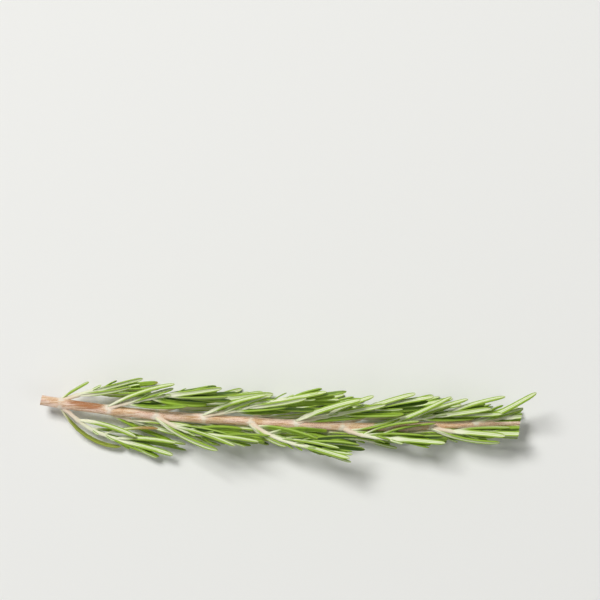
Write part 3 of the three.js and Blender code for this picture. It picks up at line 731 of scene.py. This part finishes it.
def grow_leaf(bm, template, leaf, chance, tone=None, worn=HEALTHY):
    """Adds a copy of the straight leaf, bent along its middle line and turned a little by chance."""
    count = len(bm.verts)
    bm.from_mesh(template)
    bm.verts.ensure_lookup_table()
    tone_layer, dry_layer = (bm.verts.layers.float[key] for key in ("tone", "dry"))
    roll, twist = chance.uniform(-LEAF_ROLL, LEAF_ROLL), chance.uniform(-LEAF_TWIST, LEAF_TWIST)
    half_width = leaf.half_width * worn[2] * chance.uniform(*LEAF_WIDTHS)
    tone = chance.random() if tone is None else tone
    wave, phase = chance.uniform(0, LEAF_WAVE), chance.uniform(0, math.tau)
    dry_tip = 0.7 if leaf.kind == "shoot" and chance.random() < DRY_TIP_CHANCE else 0.12
    for vert in bm.verts[count:]:
        out, down, share = vert.co
        along = direction(leaf.line, share, 0.01)
        across = along.cross(leaf.outward).normalized()
        away = across.cross(along)
        angle = roll + twist * share
        turned = across * math.cos(angle) + away * math.sin(angle)
        raised = away * math.cos(angle) - across * math.sin(angle)
        sway = wave * math.sin(math.tau * share + phase) * share
        vert.co = leaf.line(share) + (turned * (out + sway) + raised * down) * half_width
        vert[tone_layer] = tone
        drying = min(1, max(0, (share - worn[1]) / 0.3))
        vert[dry_layer] = max(dry_tip * max(0, 1 - (1 - share) / DRY_TIP_SHARE), worn[0] * drying)


def young_leaf(side, share, turn, size, spread_angle):
    """A small leaf in the crown or in an axil of a side shoot."""
    base = side.stalk(share)
    bearing = direction(side.stalk, share)
    sideways = bearing.cross(Vector((0, 0, 1))).normalized()
    upward = sideways.cross(bearing)
    outward = sideways * math.cos(turn) + upward * math.sin(turn)
    made = Leaf(side, base, bearing, side.leaf, 0.25 + size * 0.035, 0.25, "young")
    end = base + (bearing * math.cos(spread_angle) + outward * math.sin(spread_angle)) * size
    end.z = float(rest_on_surface(end.z))
    made.bend(end)
    return made


def hair_template():
    """A straight hair, radius 1 at its root and length 1."""
    bm = bmesh.new()
    bmesh.ops.create_cone(
        bm, cap_ends=True, cap_tris=False, segments=HAIR_SIDES, radius1=1, radius2=0.3, depth=1)
    bmesh.ops.translate(bm, verts=bm.verts, vec=(0, 0, 0.5))
    mesh = bpy.data.meshes.new("hair template")
    bm.to_mesh(mesh)
    bm.free()
    return mesh


def grow_hair(bm, template, root, away, long):
    """Adds a hair that stands on a point and leans away from the surface."""
    count = len(bm.verts)
    bm.from_mesh(template)
    bm.verts.ensure_lookup_table()
    turn = away.to_track_quat("Z", "Y")
    for vert in bm.verts[count:]:
        x, y, z = vert.co
        vert.co = root + turn @ Vector((x * HAIR_RADIUS, y * HAIR_RADIUS, z * long))
        vert[bm.verts.layers.float["felt"]] = 1


# ---------------------------------------------------------------- operators

def base_cut():
    """Point and direction of the cut through the stem's base."""
    return Vector((0, 0, 0)), Vector((-math.cos(CUT_SLANT_BASE), math.sin(CUT_SLANT_BASE), 0))


def tip_cut(sizes):
    """Point and direction of the cut through the sprig's tip end."""
    across = Vector((math.cos(CUT_SLANT_TIP), math.sin(CUT_SLANT_TIP), 0))
    return Vector((sizes.stem_length / MM, CUT_LEFT_TIP, 0)), across


class SPRIG_OT_stem(bpy.types.Operator):
    """Builds the woody stem with its swollen nodes, fibrous bark and cut ends"""
    bl_idname = "sprig.stem"
    bl_label = "Stem"

    def execute(self, context):
        sizes = context.scene.sprig_sizes
        bm = bmesh.new()
        layers = {key: bm.verts.layers.float.new(key) for key in ("felt", "dark_stretch", "pith")}
        straight_rod(bm, STEM_SIDES, STEM_RINGS)
        reach = sizes.stem_length / MM + 2 * STEM_OVERRUN
        for vert in bm.verts:
            self.shape(vert, sizes, layers, vert.co.z * reach - STEM_OVERRUN)
        for face in bm.faces:
            face.smooth = True
        self.grow_down(bm, sizes)
        for point, normal in (base_cut(), tip_cut(sizes)):
            caps = cut_through(bm, point, normal, cap_material=1)
            if not caps:
                raise RuntimeError("the stem's end was not cut")
            for cap in caps:
                ring_cap(bm, cap, layers["pith"], STEM_CAP_RINGS)
        new_piece(bm, "main_stem", [shared(bark_material), shared(cut_wood_material)],
                  ["main_stem"], frame_shift(sizes))
        return {"FINISHED"}

    @staticmethod
    def grow_down(bm, sizes):
        """Fine white hairs all along the stem, thicker and longer at the nodes."""
        template = hair_template()
        chance = random.Random(SEED + 2)
        roots = [vert for vert in bm.verts if 2 < vert.co.x < sizes.stem_length / MM - 1]
        for vert in chance.sample(roots, len(roots)):
            x = vert.co.x
            node = node_nearness(sizes, x, DOWN_NODE_REACH)
            if chance.random() > DOWN_SHARE + (1 - DOWN_SHARE) * node:
                continue
            middle = stem_line(x)
            lean = Vector((chance.uniform(-0.9, 1.3), chance.uniform(-0.5, 0.5), chance.uniform(-0.5, 0.5)))
            away = ((vert.co - middle).normalized() + lean).normalized()
            long = chance.uniform(*DOWN_LENGTHS) * (1 + 0.8 * node)
            grow_hair(bm, template, vert.co.copy(), away, long)
        bpy.data.meshes.remove(template)

    @staticmethod
    def shape(vert, sizes, layers, x):
        """Moves one point of the straight rod to its place on the stem."""
        angle = math.atan2(vert.co.y, vert.co.x)
        node = node_nearness(sizes, x, NODE_SWELLING_REACH)
        ridge = node_nearness(sizes, x, NODE_RIDGE_REACH)
        fibres = noise.noise((x / 4, math.cos(angle) * 3.2, math.sin(angle) * 3.2))
        lumps = noise.noise((x / 7, math.cos(angle) * 0.9 + 5, math.sin(angle) * 0.9))
        squared = math.cos(4 * angle + 0.6)
        relief = SQUARE_RELIEF * squared + FIBRE_RELIEF * fibres + LUMP_RELIEF * lumps
        radius = stem_radius(sizes, x) * (1 + relief)
        radius += sizes.node_swelling / MM * node * (1 + lumps) + NODE_RIDGE * ridge
        middle = stem_line(x)
        along = (stem_line(x + 0.5) - stem_line(x - 0.5)).normalized()
        side = Vector((0, 0, 1)).cross(along).normalized()
        up = along.cross(side)
        vert.co = middle + (side * math.cos(angle) + up * math.sin(angle)) * radius
        patchy = 0.5 + 0.5 * noise.noise((x / 1.1, math.cos(angle) * 2, math.sin(angle) * 2 + 9))
        felt = node_nearness(sizes, x, 2.4) * leaf_base_nearness(sizes, x, angle)
        felt += 0.5 * node_nearness(sizes, x, 0.9)
        vert[layers["felt"]] = min(1, felt * (0.35 + 0.65 * patchy))
        # A darker stretch of bark on one side of the stem, near its base.
        facing = max(0, math.cos(angle - DARK_STRETCH_ANGLE)) ** 0.5
        vert[layers["dark_stretch"]] = math.exp(-((x - DARK_STRETCH_MIDDLE) / DARK_STRETCH_REACH) ** 4) * facing


class SPRIG_OT_stem_leaves(bpy.types.Operator):
    """Builds the leaves that grow on the stem itself, one on each side of each node"""
    bl_idname = "sprig.stem_leaves"
    bl_label = "Stem Leaves"

    def execute(self, context):
        sizes = context.scene.sprig_sizes
        shift = frame_shift(sizes)
        template = leaf_template()
        chance = random.Random(SEED)
        for leaf in plan_leaves(sizes)[0]:
            bm = bmesh.new()
            grow_leaf(bm, template, leaf, chance, worn=WORN_STEM_LEAVES.get(leaf.side.name, HEALTHY))
            if leaf.side.name != UNCUT_LEAF:
                cut_through(bm, *tip_cut(sizes))
            name = f"stem_leaf_{leaf.side.name}"
            new_piece(bm, name, [shared(leaf_material)], [name], shift)
        bpy.data.meshes.remove(template)
        return {"FINISHED"}


class SPRIG_OT_shoot_stalks(bpy.types.Operator):
    """Builds the pale stalk of each side shoot"""
    bl_idname = "sprig.shoot_stalks"
    bl_label = "Side Shoot Stalks"

    def execute(self, context):
        sizes = context.scene.sprig_sizes
        shift = frame_shift(sizes)
        for name in SIDES:
            side = Side(name, sizes)
            bm = bmesh.new()
            along_layer = bm.verts.layers.float.new("along")
            pith_layer = bm.verts.layers.float.new("pith")
            straight_rod(bm, STALK_SIDES, STALK_RINGS)
            places = side.pair_places(sizes.leaf_pair_spacing / MM)
            for vert in bm.verts:
                share = vert.co.z
                swelling = max(math.exp(-((share - place) / STALK_NODE_REACH) ** 2) for place in places)
                radius = (sizes.stalk_radius_base * (1 - share) + sizes.stalk_radius_tip * share) / MM
                foot = max(0, 1 - share / STALK_FOOT_SHARE)
                radius *= 1 + STALK_SWELLING * swelling + STALK_FOOT_FLARE * foot
                angle = math.atan2(vert.co.y, vert.co.x)
                skin = noise.noise((share * 14, math.cos(angle), math.sin(angle) + side.start))
                radius *= 1 + STALK_RELIEF * skin
                along = direction(side.stalk, share)
                sideways = Vector((0, 0, 1)).cross(along).normalized()
                upward = along.cross(sideways)
                inside = max(0, 1 - share / STALK_ROOT_SHARE) * STALK_ROOTING
                middle = side.stalk(share).lerp(stem_line(side.start + STALK_ROOT), inside)
                vert[along_layer] = share
                vert.co = middle + (sideways * math.cos(angle) + upward * math.sin(angle)) * radius
            for face in bm.faces:
                face.smooth = True
            for cap in cut_through(bm, *tip_cut(sizes), cap_material=1):
                ring_cap(bm, cap, pith_layer, STALK_CAP_RINGS)
            new_piece(bm, f"stalk_{name}", [shared(stalk_material), shared(cut_wood_material)],
                      [f"side_shoot_{name}"], shift)
        return {"FINISHED"}


class SPRIG_OT_shoot_leaves(bpy.types.Operator):
    """Builds the leaves of each side shoot, with the young ones in its crown and axils"""
    bl_idname = "sprig.shoot_leaves"
    bl_label = "Side Shoot Leaves"

    def execute(self, context):
        sizes = context.scene.sprig_sizes
        shift = frame_shift(sizes)
        template = leaf_template()
        chance = random.Random(SEED + 1)
        grown = plan_leaves(sizes)[1]
        for name in SIDES:
            side = Side(name, sizes)
            bm = bmesh.new()
            for key in LEAF_MARKS:
                bm.verts.layers.float.new(key)
            for number, leaf in enumerate(leaf for leaf in grown if leaf.side.name == name):
                grow_leaf(bm, template, leaf, chance, worn=WORN_SHOOT_LEAVES.get((name, number), HEALTHY))
            lengths, spread, tone = AXIL_LEAVES
            for share in side.pair_places(sizes.leaf_pair_spacing / MM)[2:]:
                turn = chance.uniform(0, math.tau)
                for half_turn in (0, math.pi):
                    small = young_leaf(side, share, turn + half_turn, chance.uniform(*lengths), spread)
                    grow_leaf(bm, template, small, chance, tone=tone)
            lengths, spread, tone = CROWN_LEAVES
            for quarter in range(4):
                turn = quarter * math.pi / 2 + 0.4
                small = young_leaf(side, 0.98, turn, chance.uniform(*lengths), spread)
                grow_leaf(bm, template, small, chance, tone=tone)
            cut_through(bm, *tip_cut(sizes))
            new_piece(bm, f"shoot_leaves_{name}", [shared(leaf_material)],
                      [f"side_shoot_{name}"], shift)
        bpy.data.meshes.remove(template)
        return {"FINISHED"}


# Stage, in metres and watts. Lights: (name, place, width, power).
SURFACE_HALF_SIZE = 1.1
LIGHTS = (("key_softbox", (-0.9, 1.15, 2.4), 0.9, 62), ("fill_softbox", (1.4, -0.9, 2), 1.7, 7))
SENSOR_WIDTH = 36  # millimetres
CAMERA_HEIGHT = 1.6
VIEW_WIDTH = 0.211  # at the stem's height
VIEW_MIDDLE = (91.2, 35.6, 9)  # in the sprig's plan


class SPRIG_OT_stage(bpy.types.Operator):
    """Builds the pale surface, the soft lights and the camera that looks straight down"""
    bl_idname = "sprig.stage"
    bl_label = "Stage"

    def execute(self, context):
        scene = context.scene
        self.build_surface()
        for name, place, size, power in LIGHTS:
            self.build_light(name, place, size, power)
        scene.world = self.build_sky()
        scene.view_settings.view_transform = "Standard"
        self.build_camera(scene)
        return {"FINISHED"}

    @staticmethod
    def build_sky():
        """Pale all round, and as bright as the surface near the horizon."""
        world = bpy.data.worlds.new("soft studio")
        world.use_nodes = True
        tree = world.node_tree
        tree.nodes.clear()
        facing = add(tree, "ShaderNodeTexCoord").outputs["Generated"]
        upward = add(tree, "ShaderNodeSeparateXYZ", {"Vector": facing}).outputs["Z"]
        strength = add(tree, "ShaderNodeMapRange",
                       {"Value": upward, "From Min": 0.0, "From Max": 0.33, "To Min": 0.9, "To Max": 0.23},
                       interpolation_type="SMOOTHSTEP").outputs[0]
        sky = add(tree, "ShaderNodeBackground", {"Color": hex_colour("#F5F5F3"), "Strength": strength})
        add(tree, "ShaderNodeOutputWorld", {"Surface": sky.outputs[0]})
        return world

    @staticmethod
    def build_surface():
        bm = bmesh.new()
        bmesh.ops.create_grid(bm, x_segments=1, y_segments=1, size=SURFACE_HALF_SIZE)
        mesh = bpy.data.meshes.new("surface")
        bm.to_mesh(mesh)
        bm.free()
        mesh.materials.append(shared(surface_material))
        surface = bpy.data.objects.new("surface", mesh)
        bpy.context.scene.collection.objects.link(surface)
        surface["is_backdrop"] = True

    @staticmethod
    def build_light(name, place, size, power):
        light = bpy.data.lights.new(name, "AREA")
        light.shape = "DISK"
        light.size = size
        light.energy = power
        lamp = bpy.data.objects.new(name, light)
        lamp.location = place
        lamp.rotation_euler = (-Vector(place)).to_track_quat("-Z", "Y").to_euler()
        bpy.context.scene.collection.objects.link(lamp)

    @staticmethod
    def build_camera(scene):
        """Looks straight down, with the sprig below the middle of the view."""
        camera = bpy.data.cameras.new("camera")
        camera.sensor_width = SENSOR_WIDTH
        camera.lens = CAMERA_HEIGHT * SENSOR_WIDTH / VIEW_WIDTH
        camera.clip_start, camera.clip_end = 0.01, 20
        eye = bpy.data.objects.new("camera", camera)
        shift = frame_shift(scene.sprig_sizes)
        middle = (Vector(VIEW_MIDDLE) + shift) * MM
        eye.location = (middle.x, middle.y, middle.z + CAMERA_HEIGHT)
        scene.collection.objects.link(eye)
        scene.camera = eye


OPERATORS = (
    SPRIG_OT_stem, SPRIG_OT_stem_leaves, SPRIG_OT_shoot_stalks, SPRIG_OT_shoot_leaves, SPRIG_OT_stage)


class SPRIG_PT_panel(bpy.types.Panel):
    """Lists the sprig's sizes, colours and builders"""
    bl_idname = "SPRIG_PT_panel"
    bl_label = "Rosemary Sprig"
    bl_space_type = "VIEW_3D"
    bl_region_type = "UI"
    bl_category = "Sprig"

    def draw(self, context):
        for group in (context.scene.sprig_sizes, context.scene.sprig_colours):
            for name in group.__annotations__:
                self.layout.prop(group, name)
        for operator in OPERATORS:
            self.layout.operator(operator.bl_idname)


CLASSES = (SprigSizes, SprigColours, *OPERATORS, SPRIG_PT_panel)


def register():
    for cls in CLASSES:
        bpy.utils.register_class(cls)
    bpy.types.Scene.sprig_sizes = bpy.props.PointerProperty(type=SprigSizes)
    bpy.types.Scene.sprig_colours = bpy.props.PointerProperty(type=SprigColours)


def unregister():
    del bpy.types.Scene.sprig_colours
    del bpy.types.Scene.sprig_sizes
    for cls in reversed(CLASSES):
        bpy.utils.unregister_class(cls)


def main():
    register()
    bpy.ops.sprig.stem()
    bpy.ops.sprig.stem_leaves()
    bpy.ops.sprig.shoot_stalks()
    bpy.ops.sprig.shoot_leaves()
    bpy.ops.sprig.stage()
    boxes = {"cad": CAD_BOX, "visual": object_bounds()}
    boxes = {name: [list(corner) for corner in box] for name, box in boxes.items()}


if __name__ == "__main__":
    main()
